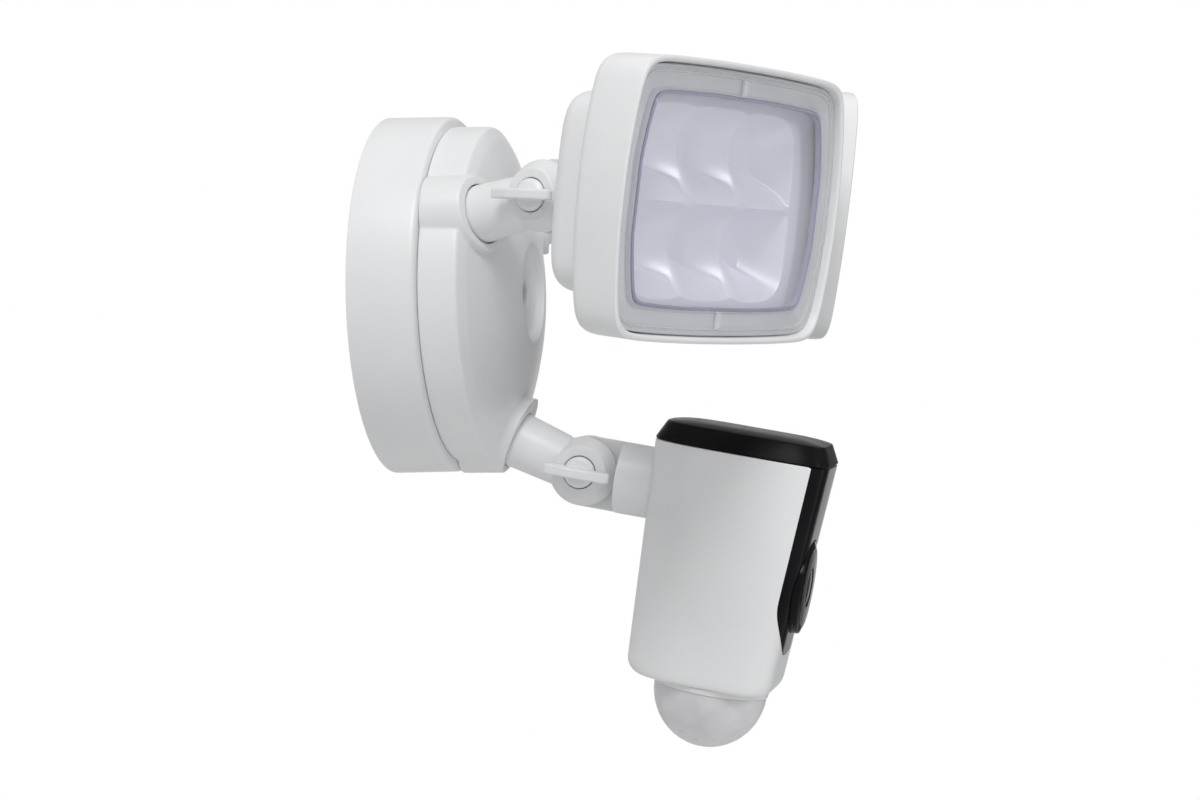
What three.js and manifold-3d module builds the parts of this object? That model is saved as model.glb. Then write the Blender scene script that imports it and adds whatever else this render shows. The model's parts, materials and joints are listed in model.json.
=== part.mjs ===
// Wall-mounted floodlight security camera: a round two-step base, two lamp heads on
// knuckle-jointed arms, and a hanging camera unit with a motion sensor dome.
// Millimetres, +Z up. The origin is the centre of the base's back, on the wall plane
// Y = 0, and the lamps and the camera look along -Y. Left is -X. The object is symmetric
// about X = 0, apart from the camera's clamp knob, which is on the left.
import * as THREE from 'three';
import { mergeVertices } from 'three/addons/utils/BufferGeometryUtils.js';
import Module from 'manifold-3d';

// Driving dimensions -----------------------------------------------------------------

const GAP = 0.3;                    // clearance kept between neighbouring pieces
const WALL = 2.3;                   // thickness of the moulded shells

const BOX_RADIUS = 65;              // back box, against the wall
const BOX_DEPTH = 24.4;
const BOX_FLOOR_FRONT = 5.4;        // the box's back web stands off the wall
const COVER_RADIUS = 61;            // front cover, the second step
const COVER_RIM_Y = 38.2;           // where the cover's side turns into its domed face
const DOME_RADIUS = 127.8;          // radius of the domed face
const DOME_APEX_Y = 53.2;
const CRATER_RADIUS = 17;           // dished centre of the face
const CRATER_FLOOR_Y = 48.9;

const SOCKET_FROM_CENTRE = 51.8;    // each arm's socket boss, measured from the base's axis
const SOCKET_RADIUS = 13.5;
const LAMP_SOCKET_ANGLE = 31.4;     // degrees above horizontal
const MOUTH_BORE = 10.65;

const ARM_LENGTH = 27;              // socket mouth to knuckle axis
const ARM_ROOT_RADIUS = 10.2;
const ARM_TIP_RADIUS = 9.1;
const ARM_BEND = 14.5;              // angle between the arm and the stem at rest
const SOCKET_DEPTH = 12.2;

const KNUCKLE_RADIUS = 12.5;
const KNUCKLE_SWEEP = 13.4;         // room that each half leaves for the other
const HALF_LAP = 0.5;               // each half's face, measured from the mid plane
const KNUCKLE_FACE = 10.3;          // flat ring round the knob
const KNOB_RADIUS = 5.7;
const SHAFT_RADIUS = 2.5;
const WING_LENGTH = 24.6;
const WING_THICKNESS = 3.6;
const STEM_RADIUS = 13;
const STEM_STEP = 13.4;             // where the stem's half-lap flat ends

const LAMP_KNUCKLE = [53.1, -69.5, 33.2];
const LAMP_YAW = 21.2;
const LAMP_PITCH = 3.5;
const LAMP_ROLL = 1.7;
const LAMP_BACK = 36;               // distances forward of the knuckle axis
const HOOD_BACK = 57;
const RIM_FRONT = 75.8;
const RIM_SLANT = 0.024;            // forward lean of the rim, per mm of height
const HEAD_NOD = 3.2;               // the head hangs forward of its stem by this angle,
const HEAD_PIVOT = 57;              // turned about a line this far forward
const RIM_HALF = [70.6, 46.5];      // half width and half height of the hood
const RIM_BARREL = [6, 1.4];        // how far its sides bow out
const HOUSING_HALF = [53, 34];
const LENS_INSET = 2.6;
const LENS_THICKNESS = 1.6;
const REFLECTOR_FRONT = 67.2;
const CELL_WIDTH = 33.5;            // pitch of the reflector's bowls, three by two
const CELL_HEIGHT = 32;
const CELL_COLUMNS = [-1, 0, 1];
const CELL_ROWS = [-0.5, 0.5];
const BOWL_DEPTH = 13.6;
const BOARD_FRONT = 51.6;

const CAMERA_KNUCKLE = [0, -69.6, -64.8];
const CAMERA_PITCH = 10.5;
const BODY_TOP = 17.2;              // heights above the camera's knuckle axis
const BODY_BOTTOM = -67;
const BODY_HALF_WIDTH = 22.5;
const BODY_REAR = [25.6, -0.035];   // rear and front faces: distance forward, and lean
const BODY_FRONT = [87.6, 0.0846];
const CAP_HEIGHT = 6.9;
const PANEL_HALF_WIDTH = 21.7;
const PANEL_CENTRE = -31;           // centre of the panel's round lower end
const WINDOW_CENTRE = -27;
const WINDOW_RADIUS = 17;
const DOME_CENTRE = 58.4;
const SENSOR_RADIUS = 20.5;

// Colours ----------------------------------------------------------------------------

function finish(color, roughness, metalness = 0, extra = {}) {
  return new THREE.MeshStandardMaterial({ color, roughness, metalness, ...extra });
}

const whitePlastic = finish(0xe9eaeb, 0.42);
const blackGloss = finish(0x0b0b0d, 0.12);
const clearPlastic = finish(0xf2f5fa, 0.06, 0, { transparent: true, opacity: 0.3 });
const lampReflector = finish(0xd4d8e6, 0.2, 0.6);
const milkyPlastic = finish(0xf1f1f1, 0.35, 0, { transparent: true, opacity: 0.85 });
const blackRubber = finish(0x1b1b1c, 0.9);
const steel = finish(0xa9adb0, 0.35, 1);
const aluminium = finish(0xc3c6c9, 0.4, 1);
const boardGreen = finish(0x1e5a3a, 0.5);
const boardWhite = finish(0xe6e6dc, 0.5);
const darkPlastic = finish(0x232427, 0.6);
const brass = finish(0xb48a3c, 0.35, 1);

// Solids -----------------------------------------------------------------------------

const wasm = await Module();
wasm.setup();

function degrees(angle) {
  return THREE.MathUtils.degToRad(angle);
}

// Merges a geometry's shared vertices and turns it into a solid, faces outward.
function solid(geometry) {
  const bare = geometry.index ? geometry.toNonIndexed() : geometry.clone();
  bare.deleteAttribute('normal');
  bare.deleteAttribute('uv');
  const merged = mergeVertices(bare, 1e-4);
  const corner = merged.attributes.position;
  const triangles = [];
  let volume = 0;
  const a = new THREE.Vector3();
  const b = new THREE.Vector3();
  const c = new THREE.Vector3();
  for (let i = 0; i < merged.index.count; i += 3) {
    const [p, q, r] = [0, 1, 2].map((k) => merged.index.getX(i + k));
    if (p === q || q === r || r === p) continue;
    a.fromBufferAttribute(corner, p);
    b.fromBufferAttribute(corner, q);
    c.fromBufferAttribute(corner, r);
    volume += a.dot(b.cross(c));
    triangles.push([p, q, r]);
  }
  const ordered = volume < 0 ? triangles.map(([p, q, r]) => [p, r, q]) : triangles;
  const mesh = new wasm.Mesh({
    numProp: 3,
    vertProperties: new Float32Array(corner.array),
    triVerts: new Uint32Array(ordered.flat()),
  });
  return new wasm.Manifold(mesh);
}

function surface(body) {
  const { vertProperties, triVerts } = body.getMesh();
  const geometry = new THREE.BufferGeometry();
  geometry.setAttribute('position', new THREE.BufferAttribute(vertProperties, 3));
  geometry.setIndex(new THREE.BufferAttribute(triVerts, 1));
  geometry.computeVertexNormals();
  return geometry;
}

function piece(name, body, material) {
  const mesh = new THREE.Mesh(surface(body), material);
  mesh.name = name;
  return mesh;
}

// A solid of revolution round the Y axis, from [radius, y] corners.
function turned(corners, segments = 24) {
  const profile = [...corners, corners[0]].map(([r, y]) => new THREE.Vector2(r, y));
  return new THREE.LatheGeometry(profile, segments);
}

function box(low, high) {
  const size = low.map((v, i) => high[i] - v);
  const geometry = new THREE.BoxGeometry(...size);
  return geometry.translate(...low.map((v, i) => v + size[i] / 2));
}

// A round bar between two points, with its own radius at each end.
function bar(from, to, radius, endRadius = radius, segments = 20) {
  const start = new THREE.Vector3(...from);
  const end = new THREE.Vector3(...to);
  const along = end.clone().sub(start);
  const geometry = new THREE.CylinderGeometry(endRadius, radius, along.length(), segments);
  const up = new THREE.Vector3(0, 1, 0);
  const turn = new THREE.Quaternion().setFromUnitVectors(up, along.clone().normalize());
  geometry.applyQuaternion(turn);
  const middle = start.add(end).multiplyScalar(0.5);
  return geometry.translate(middle.x, middle.y, middle.z);
}

// A closed skin through rings of equal length, with flat or slanted ends.
function loft(rings) {
  const count = rings[0].length;
  const points = rings.flat();
  const index = [];
  for (let ring = 0; ring + 1 < rings.length; ring += 1) {
    for (let i = 0; i < count; i += 1) {
      const j = (i + 1) % count;
      const low = ring * count;
      const high = low + count;
      index.push(low + i, low + j, high + j, low + i, high + j, high + i);
    }
  }
  for (const [ring, flip] of [[rings[0], false], [rings.at(-1), true]]) {
    const centre = points.length;
    const start = flip ? (rings.length - 1) * count : 0;
    const sum = ring.reduce((total, p) => total.map((v, k) => v + p[k] / count), [0, 0, 0]);
    points.push(sum);
    for (let i = 0; i < count; i += 1) {
      const j = (i + 1) % count;
      index.push(centre, start + (flip ? i : j), start + (flip ? j : i));
    }
  }
  const geometry = new THREE.BufferGeometry();
  geometry.setAttribute('position', new THREE.Float32BufferAttribute(points.flat(), 3));
  geometry.setIndex(index);
  return geometry;
}

function sum(bodies) {
  return bodies.slice(1).reduce((total, next) => total.add(next), bodies[0]);
}

function cut(body, cutters) {
  return cutters.reduce((rest, cutter) => rest.subtract(cutter), body);
}

// A revolved geometry whose axis was Y, turned so that +Y becomes the given X side.
function aboutX(geometry, side) {
  return geometry.rotateZ(-side * Math.PI / 2);
}

// Base -------------------------------------------------------------------------------

// Places of the three arms. Each frame stands at its knuckle, looking along -Y.
function armFrame([x, y, z], yaw, pitch, roll) {
  const frame = new THREE.Group();
  frame.position.set(x, y, z);
  frame.rotation.set(degrees(pitch), degrees(roll), degrees(yaw), 'ZXY');
  frame.updateMatrix();
  return frame;
}

function lampFrame(side) {
  const [x, y, z] = LAMP_KNUCKLE;
  return armFrame([side * x, y, z], side * LAMP_YAW, LAMP_PITCH, -side * LAMP_ROLL);
}

// The arm's direction inside its frame, from the socket towards the knuckle.
function armDirection(bend) {
  return new THREE.Vector3(0, -Math.cos(degrees(bend)), Math.sin(degrees(bend)));
}

function socket(frame, bend, angle) {
  const along = armDirection(bend);
  const mouth = along.clone().multiplyScalar(-ARM_LENGTH).applyMatrix4(frame.matrix);
  along.transformDirection(frame.matrix);
  const at = (distance) => mouth.clone().addScaledVector(along, distance).toArray();
  const x = SOCKET_FROM_CENTRE * Math.cos(degrees(angle));
  const z = SOCKET_FROM_CENTRE * Math.sin(degrees(angle));
  const post = solid(bar([x, -BOX_DEPTH - GAP, z], [x, -60, z], SOCKET_RADIUS, SOCKET_RADIUS, 26));
  const inside = solid(turned([[0, -20], [58.4, -20], [58.4, -34], [0, -34]], 36));
  const beyond = solid(bar(at(0), at(30), 40));
  return {
    boss: cut(post, [inside, beyond]),
    bores: [
      solid(bar(at(2), at(-20), MOUTH_BORE, MOUTH_BORE, 20)),
      solid(bar(at(-SOCKET_DEPTH), at(-26), 12, 12, 20)),
    ],
  };
}

function domeY(radius, depth = 0) {
  return depth - DOME_APEX_Y + (radius * radius) / (2 * DOME_RADIUS);
}

function frontCover(sockets) {
  const back = -BOX_DEPTH - GAP;
  const face = [48, 34];
  const inner = COVER_RADIUS - WALL;
  const skin = [
    [COVER_RADIUS, back],
    [COVER_RADIUS - 0.4, -COVER_RIM_Y + 1],
    [COVER_RADIUS - 2, domeY(COVER_RADIUS - 2)],
    ...face.map((r) => [r, domeY(r)]),
    [CRATER_RADIUS, domeY(CRATER_RADIUS)],
    [CRATER_RADIUS - 0.8, domeY(CRATER_RADIUS) + 0.7],
    [CRATER_RADIUS - 2.4, -CRATER_FLOOR_Y],
    [4.2, -CRATER_FLOOR_Y],
    [4.2, -44],
    [2.7, -44],
    [2.7, back],
    [7, back],
    [7, -CRATER_FLOOR_Y + WALL],
    [CRATER_RADIUS + 1, -CRATER_FLOOR_Y + WALL],
    [inner, -COVER_RIM_Y + WALL],
    [inner, back],
  ];
  const shell = solid(turned(skin, 36));
  const bosses = sockets.map((s) => s.boss);
  return cut(sum([shell, ...bosses]), sockets.flatMap((s) => s.bores));
}

function backBox() {
  const inner = BOX_RADIUS - 2.6;
  const web = [-3.2, -BOX_FLOOR_FRONT];
  const skin = [
    [BOX_RADIUS, 0],
    [BOX_RADIUS - 0.4, -BOX_DEPTH + 1.4],
    [BOX_RADIUS - 2.2, -BOX_DEPTH],
    [56.5, -BOX_DEPTH],
    [56.5, -BOX_DEPTH + 2],
    [inner, -BOX_DEPTH + 2],
    [inner, web[1]],
    [11, web[1]],
    [11, web[0]],
    [58, web[0]],
    [58, -1.6],
    [inner - 0.2, -1.6],
    [inner - 0.2, 0],
  ];
  const cable = solid(bar([0, -1, -26], [0, -8, -26], 6, 6, 16));
  const bolts = [-41, 41].map((x) => solid(bar([x, -1, 0], [x, -8, 0], 5, 5, 20)));
  return cut(solid(turned(skin, 40)), [cable, ...bolts]);
}

// Flat steel bar behind the box: slots for the wall screws, a boss for the long screw.
function mountingBracket() {
  const plate = solid(box([-52, -1.6, -12], [52, 0, 12]));
  const boss = solid(bar([0, -1.4, 0], [0, -8.6, 0], 5, 5, 16));
  const thread = solid(bar([0, -2.2, 0], [0, -9, 0], 2.2, 2.2, 12));
  const slots = [-41, 41].map((x) => {
    const ends = [-5, 5].map((z) => solid(bar([x, 1, z], [x, -3, z], 2.4, 2.4, 10)));
    return sum([...ends, solid(box([x - 2.4, -3, -5], [x + 2.4, 1, 5]))]);
  });
  const holes = [-22, 22].map((x) => solid(bar([x, 1, 0], [x, -3, 0], 2.6, 2.6, 12)));
  return cut(sum([plate, boss]), [thread, ...slots, ...holes]);
}

// Long screw from the dished centre of the cover into the bracket's boss.
function fixingScrew() {
  const shank = [
    [0, -2.6], [1.9, -2.6], [1.9, -44.3], [3.7, -44.3], [3.7, -46],
    [3.0, -46.9], [0, -47.1],
  ];
  const cross = [[-2.1, -0.5, 2.1, 0.5], [-0.5, -2.1, 0.5, 2.1]].map(([x, z, right, top]) => (
    solid(box([x, -48, z], [right, -45.6, top]))
  ));
  return cut(solid(turned(shank, 16)), cross);
}

function cableGrommet() {
  return solid(turned([
    [2.2, -2.6], [9, -2.6], [9, -3.0], [5.6, -3.0], [5.6, -5.8], [8.4, -5.8],
    [7.4, -8.4], [4.2, -11.4], [2.2, -11.4],
  ], 16).translate(0, 0, -26));
}

function ring(inner, outer, back, front, segments = 36) {
  return solid(turned([[inner, back], [outer, back], [outer, front], [inner, front]], segments));
}

// The driver board is notched round the centre screw's post.
function driverBoard() {
  const plate = solid(box([-44, -11.6, -19.5], [44, -10, 34]));
  return cut(plate, [solid(bar([0, -8, 0], [0, -14, 0], 11, 11, 20))]);
}

function choke() {
  const core = solid(box([-14, -30.8, -11], [14, -11.9, 11]));
  const windings = solid(bar([0, -13.4, 0], [0, -29, 0], 12.4, 12.4, 20));
  return sum([core, windings]).translate([-27, 0, -4]);
}

function capacitor(x, z) {
  return solid(turned([
    [0, -11.9], [6, -11.9], [6, -13.2], [5.6, -13.8], [6, -14.4], [6, -26.4], [5.2, -27],
    [0, -27],
  ], 16).translate(x, 0, z));
}

function terminalBlock() {
  const block = solid(box([-13, -22, -7], [13, -11.9, 7]));
  const ways = [-8, 0, 8];
  const screws = ways.map((x) => solid(bar([x, -16, 0], [x, -24, 0], 2.6, 2.6, 16)));
  const wires = ways.map((x) => solid(box([x - 2.2, -16.5, -9], [x + 2.2, -13, -1.5])));
  return cut(block, [...screws, ...wires]).translate([27, 0, -12]);
}

function base() {
  const sockets = [-1, 1].map((side) => (
    socket(lampFrame(side), ARM_BEND, side > 0 ? LAMP_SOCKET_ANGLE : 180 - LAMP_SOCKET_ANGLE)
  ));
  const cameraFrame = armFrame(CAMERA_KNUCKLE, 0, CAMERA_PITCH, 0);
  sockets.push(socket(cameraFrame, -ARM_BEND, -90));
  const group = new THREE.Group();
  group.add(
    piece('mounting_bracket', mountingBracket(), steel),
    piece('wall_gasket', ring(58.3, 61.9, 0, -1.3), blackRubber),
    piece('back_box', backBox(), whitePlastic),
    piece('cable_grommet', cableGrommet(), blackRubber),
    piece('cover_seal', ring(50.5, 56.2, -22.6, -24.9), blackRubber),
    piece('front_cover', frontCover(sockets), whitePlastic),
    piece('fixing_screw', fixingScrew(), steel),
    piece('driver_board', driverBoard(), boardGreen),
    piece('choke', choke(), darkPlastic),
    piece('capacitor_1', capacitor(7, 25), darkPlastic),
    piece('capacitor_2', capacitor(21, 25), darkPlastic),
    piece('terminal_block', terminalBlock(), boardGreen),
  );
  return group;
}

// Arms and knuckles ------------------------------------------------------------------

// Swivel arm: a tapering tube that ends in the outer half of the knuckle.
function swivelArm(bend, side) {
  const along = armDirection(bend);
  const at = (distance) => along.clone().multiplyScalar(distance - ARM_LENGTH).toArray();
  const root = ARM_LENGTH + SOCKET_DEPTH;
  const tube = solid(turned([
    [0, root + 4], [6.8, root + 4], [6.8, root], [ARM_ROOT_RADIUS, root],
    [ARM_ROOT_RADIUS, ARM_LENGTH - 0.6], [ARM_TIP_RADIUS, 0], [0, 0],
  ], 24).rotateX(degrees(-bend)));
  const half = solid(aboutX(turned([
    [0, 0.2], [KNUCKLE_RADIUS, 0.2], [KNUCKLE_RADIUS, 3.6],
    [9.5, 9.8], [9, KNUCKLE_FACE], [0, KNUCKLE_FACE],
  ], 24), side));
  return cut(sum([tube, half]), [
    solid(bar([-side * 20, 0, 0], [side * HALF_LAP, 0, 0], KNUCKLE_SWEEP, KNUCKLE_SWEEP, 24)),
    solid(bar([side * 4, 0, 0], [side * 20, 0, 0], KNOB_RADIUS + GAP)),
    solid(bar([0, 0, 0], [side * 5, 0, 0], SHAFT_RADIUS + GAP)),
    solid(bar(at(-20), at(8), 3.4, 3.4, 12)),
  ]);
}

function lockRing(bend) {
  const along = armDirection(bend);
  const at = (distance) => along.clone().multiplyScalar(distance - ARM_LENGTH).toArray();
  const outer = solid(bar(at(-SOCKET_DEPTH - 3.4), at(-SOCKET_DEPTH - 0.4), 11.7, 11.7, 20));
  return cut(outer, [solid(bar(at(-SOCKET_DEPTH - 6), at(0), 7.1, 7.1, 20))]);
}

// Wing knob: a hub that fills the knuckle's ring, with one flat wing across it.
function wingKnob(side) {
  const hub = solid(aboutX(turned([
    [0, 4.4], [KNOB_RADIUS, 4.4], [KNOB_RADIUS, 10.8], [5, 11.6], [0, 12.2],
  ], 16), side));
  const headPocket = solid(bar([side * 3, 0, 0], [side * 8.4, 0, 0], 4.5, 4.5, 6));
  const wing = new THREE.Shape();
  const reach = WING_LENGTH / 2;
  wing.moveTo(-4, 9);
  wing.lineTo(4, 9);
  wing.lineTo(4.6, 11.2);
  wing.lineTo(reach - 1.2, 14.2);
  wing.quadraticCurveTo(reach + 0.4, 16.6, reach - 2.2, 18.6);
  wing.quadraticCurveTo(0, 22.4, -reach + 2.2, 18.6);
  wing.quadraticCurveTo(-reach - 0.4, 16.6, -reach + 1.2, 14.2);
  wing.lineTo(-4.6, 11.2);
  const blade = new THREE.ExtrudeGeometry(wing, {
    depth: WING_THICKNESS - 1.2,
    bevelSize: 0.5,
    bevelThickness: 0.6,
    bevelSegments: 1,
    curveSegments: 3,
  });
  blade.translate(0, 0, -WING_THICKNESS / 2 + 0.6);
  return cut(sum([hub, solid(aboutX(blade, side))]), [headPocket]);
}

// Clamp screw, its hexagonal head held in the wing knob's hub.
function clampScrew(side) {
  const shaft = solid(bar([-side * 9.2, 0, 0], [side * 6, 0, 0], SHAFT_RADIUS));
  const head = solid(bar([side * 4.5, 0, 0], [side * 8.1, 0, 0], 4.1, 4.1, 6));
  return sum([shaft, head]);
}

function clampNut(side) {
  const hexagon = bar([-side * 9.6, 0, 0], [-side * 6, 0, 0], 4.6, 4.6, 6);
  return cut(solid(hexagon), [solid(bar([-side * 12, 0, 0], [0, 0, 0], SHAFT_RADIUS + GAP))]);
}

// Stem: the knuckle's inner half and the tube that carries the head.
function stem(side, length) {
  const half = solid(aboutX(turned([
    [0, 0.2], [KNUCKLE_RADIUS, 0.2], [KNUCKLE_RADIUS, 8.6], [11.4, 10.8], [8.6, 12.6],
    [0, 12.9],
  ], 24), -side));
  const tube = solid(bar([0, 0, 0], [0, -length, 0], STEM_RADIUS, STEM_RADIUS, 28));
  const hollow = bar(
    [0, -STEM_STEP - 2, 0], [0, -length - 2, 0], STEM_RADIUS - WALL, STEM_RADIUS - WALL, 20,
  );
  const lap = [-side * HALF_LAP, side * 30];
  return cut(sum([half, tube]), [
    solid(box([Math.min(...lap), -STEM_STEP, -30], [Math.max(...lap), 30, 30])),
    solid(bar([-side * 20, 0, 0], [-side * 5.6, 0, 0], 5.2, 5.2, 6)),
    solid(bar([-side * 10, 0, 0], [side * 2, 0, 0], SHAFT_RADIUS + GAP)),
    solid(hollow),
  ]);
}

function armPieces(name, bend, side) {
  return [
    piece(`${name}_arm`, swivelArm(bend, side), whitePlastic),
    piece(`${name}_arm_lock_ring`, lockRing(bend), darkPlastic),
    piece(`${name}_wing_knob`, wingKnob(side), whitePlastic),
    piece(`${name}_clamp_screw`, clampScrew(side), steel),
    piece(`${name}_clamp_nut`, clampNut(side), brass),
  ];
}

// Lamp heads -------------------------------------------------------------------------

// Outline of a box with bowed sides and soft corners, as [x, z] points. They crowd
// towards the corners, where the outline turns.
function barrel([halfWidth, halfHeight], [bowX, bowZ], sharpness = 14) {
  const steps = [0, 0.3, 6, 16, 28, 45, 62, 74, 84, 89.7];
  const turns = [0, 90, 180, 270].flatMap((start) => steps.map((step) => start + step));
  return turns.map((turn) => {
    const [across, up] = [Math.cos(degrees(turn)), Math.sin(degrees(turn))].map((v) => (
      Math.abs(v) < 1e-9 ? 0 : Math.sign(v) * Math.abs(v) ** (2 / sharpness)
    ));
    return [(halfWidth - bowX * up * up) * across, (halfHeight - bowZ * across * across) * up];
  });
}

// A barrel-sided block between sections [distance forward, inset, slant].
function barrelBlock(half, bow, sections, sharpness) {
  return loft(sections.map(([forward, inset, slant = 0]) => {
    const outline = barrel(half.map((v) => v - inset), bow, sharpness);
    return outline.map(([x, z]) => [x, -forward - slant * z, z]);
  }));
}

function headFrame() {
  const head = new THREE.Group();
  const lift = new THREE.Vector3(0, -HEAD_PIVOT, 0).applyEuler(new THREE.Euler(degrees(HEAD_NOD)));
  head.rotation.x = degrees(HEAD_NOD);
  head.position.set(0, -HEAD_PIVOT - lift.y, -lift.z);
  head.updateMatrix();
  return head;
}

function lampHousing() {
  const outer = solid(barrelBlock(HOUSING_HALF, [2, 1], [
    [LAMP_BACK, 6], [LAMP_BACK + 1, 3], [LAMP_BACK + 3, 1], [LAMP_BACK + 7, 0],
    [HOOD_BACK + 2.6, 0],
  ], 9));
  const inner = solid(barrelBlock(HOUSING_HALF, [2, 1], [
    [LAMP_BACK + WALL, 7], [LAMP_BACK + WALL + 4, WALL], [HOOD_BACK + 8, WALL],
  ], 9));
  const neck = bar([0, -LAMP_BACK + 4, 0], [0, -LAMP_BACK - 6, 0], STEM_RADIUS + GAP);
  neck.applyMatrix4(headFrame().matrix.invert());
  return cut(outer, [inner, solid(neck)]);
}

function heatSink() {
  const plate = solid(box([-46, -49.6, -27], [46, -47, 27]));
  const fins = [-40, -30, -20, 20, 30, 40].map((x) => (
    solid(box([x - 0.8, -47.4, -24], [x + 0.8, -42, 24]))
  ));
  return sum([plate, ...fins]);
}

function ledBoard() {
  const plate = solid(box([-45, -BOARD_FRONT, -27.6], [45, -BOARD_FRONT + 1.6, 27.6]));
  const chips = CELL_COLUMNS.flatMap((column) => CELL_ROWS.map((row) => {
    const [x, z] = [column * CELL_WIDTH, row * CELL_HEIGHT];
    return solid(box([x - 1.8, -BOARD_FRONT - 0.9, z - 1.8], [x + 1.8, -BOARD_FRONT + 0.2, z + 1.8]));
  }));
  return sum([plate, ...chips]);
}

// Six bowls, three by two, whose walls meet in scalloped ridges.
function reflector() {
  const half = [1.5 * CELL_WIDTH, CELL_HEIGHT];
  const block = solid(barrelBlock([half[0] + 8, half[1] + 7.6], [2, 0.6], [
    [HOOD_BACK + 2.9, 0], [REFLECTOR_FRONT, 0],
  ], 12));
  const back = BOARD_FRONT + 1.4;
  const inner = HOUSING_HALF.map((v) => v - WALL - GAP);
  const core = solid(barrelBlock(inner, [2, 1], [[back, 1], [REFLECTOR_FRONT - 1, 0.2]], 9));
  const corner = Math.hypot(CELL_WIDTH, CELL_HEIGHT) / 2;
  const bowlRadius = (corner ** 2 + BOWL_DEPTH ** 2) / (2 * BOWL_DEPTH);
  const centre = -REFLECTOR_FRONT + BOWL_DEPTH - bowlRadius;
  const window = solid(barrelBlock(half, [1.5, 0.6], [
    [20, 9], [back, 9], [HOOD_BACK + 2.6, 5.8], [REFLECTOR_FRONT, 0], [90, 0],
  ], 9));
  const bowls = [];
  const eyes = [];
  for (const column of CELL_COLUMNS) {
    for (const row of CELL_ROWS) {
      const [x, z] = [column * CELL_WIDTH, row * CELL_HEIGHT];
      const ball = new THREE.SphereGeometry(bowlRadius, 20, 14).rotateX(Math.PI / 2);
      bowls.push(solid(ball.translate(x, centre, z)));
      eyes.push(solid(box([x - 3.4, -REFLECTOR_FRONT, z - 3.4], [x + 3.4, -40, z + 3.4])));
    }
  }
  return cut(sum([block, core]), [sum(bowls).intersect(window), ...eyes]);
}

function hood() {
  const outer = solid(barrelBlock(RIM_HALF, RIM_BARREL, [
    [HOOD_BACK, 4.5], [HOOD_BACK + 0.8, 2.4], [HOOD_BACK + 3.4, 0.6], [HOOD_BACK + 7, 0.2],
    [RIM_FRONT - 0.6, 0, RIM_SLANT], [RIM_FRONT, 0.5, RIM_SLANT],
  ]));
  const pocket = solid(barrelBlock(RIM_HALF, RIM_BARREL, [
    [HOOD_BACK + WALL, 3.9], [HOOD_BACK + 5, 2.6], [RIM_FRONT + 4, 2, RIM_SLANT],
  ]));
  const opening = solid(barrelBlock(HOUSING_HALF.map((v) => v + GAP), [2, 1], [
    [HOOD_BACK - 5, 0], [HOOD_BACK + 20, 0],
  ], 9));
  return cut(outer, [pocket, opening]);
}

function lensGasket() {
  const plane = RIM_FRONT - LENS_INSET - LENS_THICKNESS - GAP;
  const section = [[plane - 1.6, 3, RIM_SLANT], [plane, 3, RIM_SLANT]];
  const hole = [[plane - 6, 6, RIM_SLANT], [plane + 6, 6, RIM_SLANT]];
  return cut(
    solid(barrelBlock(RIM_HALF, RIM_BARREL, section)),
    [solid(barrelBlock(RIM_HALF, RIM_BARREL, hole))],
  );
}

// Clear cover: a thin plate with a raised step round its middle.
function lensCover() {
  const front = RIM_FRONT - LENS_INSET;
  const plate = solid(barrelBlock(RIM_HALF, RIM_BARREL, [
    [front - LENS_THICKNESS, 2.7, RIM_SLANT], [front, 2.7, RIM_SLANT],
  ]));
  const step = solid(barrelBlock(RIM_HALF, RIM_BARREL, [
    [front - 0.2, 9, RIM_SLANT], [front + 0.8, 9.6, RIM_SLANT],
  ], 12));
  return sum([plate, step]);
}

function lamp(name, side) {
  const frame = lampFrame(side);
  const head = headFrame();
  frame.add(
    head,
    ...armPieces(name, ARM_BEND, side),
    piece(`${name}_stem`, stem(side, LAMP_BACK + 1.8), whitePlastic),
  );
  head.add(
    piece(`${name}_lamp_housing`, lampHousing(), whitePlastic),
    piece(`${name}_heat_sink`, heatSink(), aluminium),
    piece(`${name}_led_board`, ledBoard(), boardWhite),
    piece(`${name}_reflector`, reflector(), lampReflector),
    piece(`${name}_lamp_hood`, hood(), whitePlastic),
    piece(`${name}_lens_gasket`, lensGasket(), blackRubber),
    piece(`${name}_lens_cover`, lensCover(), clearPlastic),
  );
  return frame;
}

// Camera unit ------------------------------------------------------------------------

// Plan outline of the camera's body at a height, as [x, forward] points: a round-backed
// box whose front face bows slightly.
function bodyOutline(height, inset, count = 32) {
  const rear = BODY_REAR[0] + BODY_REAR[1] * height + inset;
  const front = BODY_FRONT[0] + BODY_FRONT[1] * height - inset;
  const middle = (rear + front) / 2;
  const halfDepth = (front - rear) / 2;
  const halfWidth = BODY_HALF_WIDTH - inset;
  return Array.from({ length: count }, (_, i) => {
    const angle = ((i + 0.5) / count) * 2 * Math.PI;
    const power = Math.cos(angle) < 0 ? 2 / 3.4 : 2 / 6.5;
    const across = Math.sign(Math.sin(angle)) * Math.abs(Math.sin(angle)) ** power;
    const along = Math.sign(Math.cos(angle)) * Math.abs(Math.cos(angle)) ** power;
    return [halfWidth * across, middle + halfDepth * along];
  });
}

// A stack of body outlines, given as [height, inset].
function bodyBlock(sections) {
  return solid(loft(sections.map(([height, inset]) => (
    bodyOutline(height, inset).map(([x, forward]) => [x, -forward, height])
  ))));
}

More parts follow.
